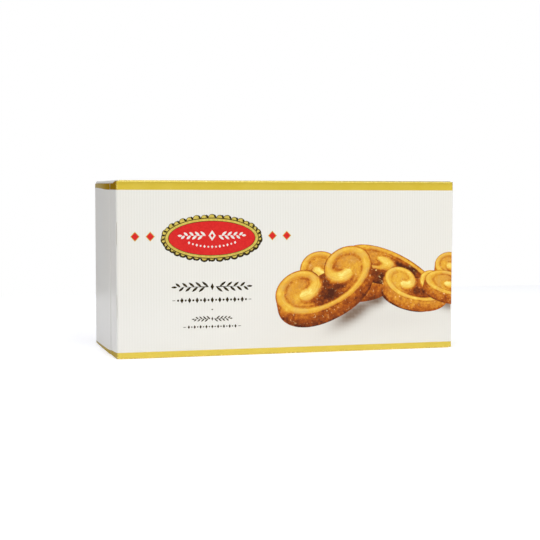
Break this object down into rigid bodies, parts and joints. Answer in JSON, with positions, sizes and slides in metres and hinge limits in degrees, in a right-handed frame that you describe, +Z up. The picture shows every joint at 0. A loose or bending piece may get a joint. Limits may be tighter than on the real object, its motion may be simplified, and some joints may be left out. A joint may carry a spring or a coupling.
{
  "type": "biscuit carton",
  "caption": "Shut rectangular paperboard carton for palmier biscuits, standing on its long edge, with glued end flaps, gold bands along its edges and a printed pastry picture.",
  "frame": {"origin": "middle of the base panel's outer face, on the surface the carton stands on", "axes": "+X along the long side, +Y from the display panel to the back panel, +Z up"},
  "size_m": [0.192, 0.076, 0.094],
  "materials": {
    "printed_board": "off-white coated board with fine upright ribs in the print, satin varnish",
    "gold_ink": "satin yellow-gold ink in bands along the long edges and round the emblem",
    "red_ink": "bright red satin ink of the emblem and the diamonds",
    "dark_ink": "dark brown ink of the fine ornaments",
    "pastry_print": "golden-brown printed picture of palmiers under the same varnish",
    "bare_board": "unprinted grey-white board at the cut edges and the dust flaps"
  },
  "bodies": {
    "root": {"carton": "printed_board"}
  },
  "joints": []
}
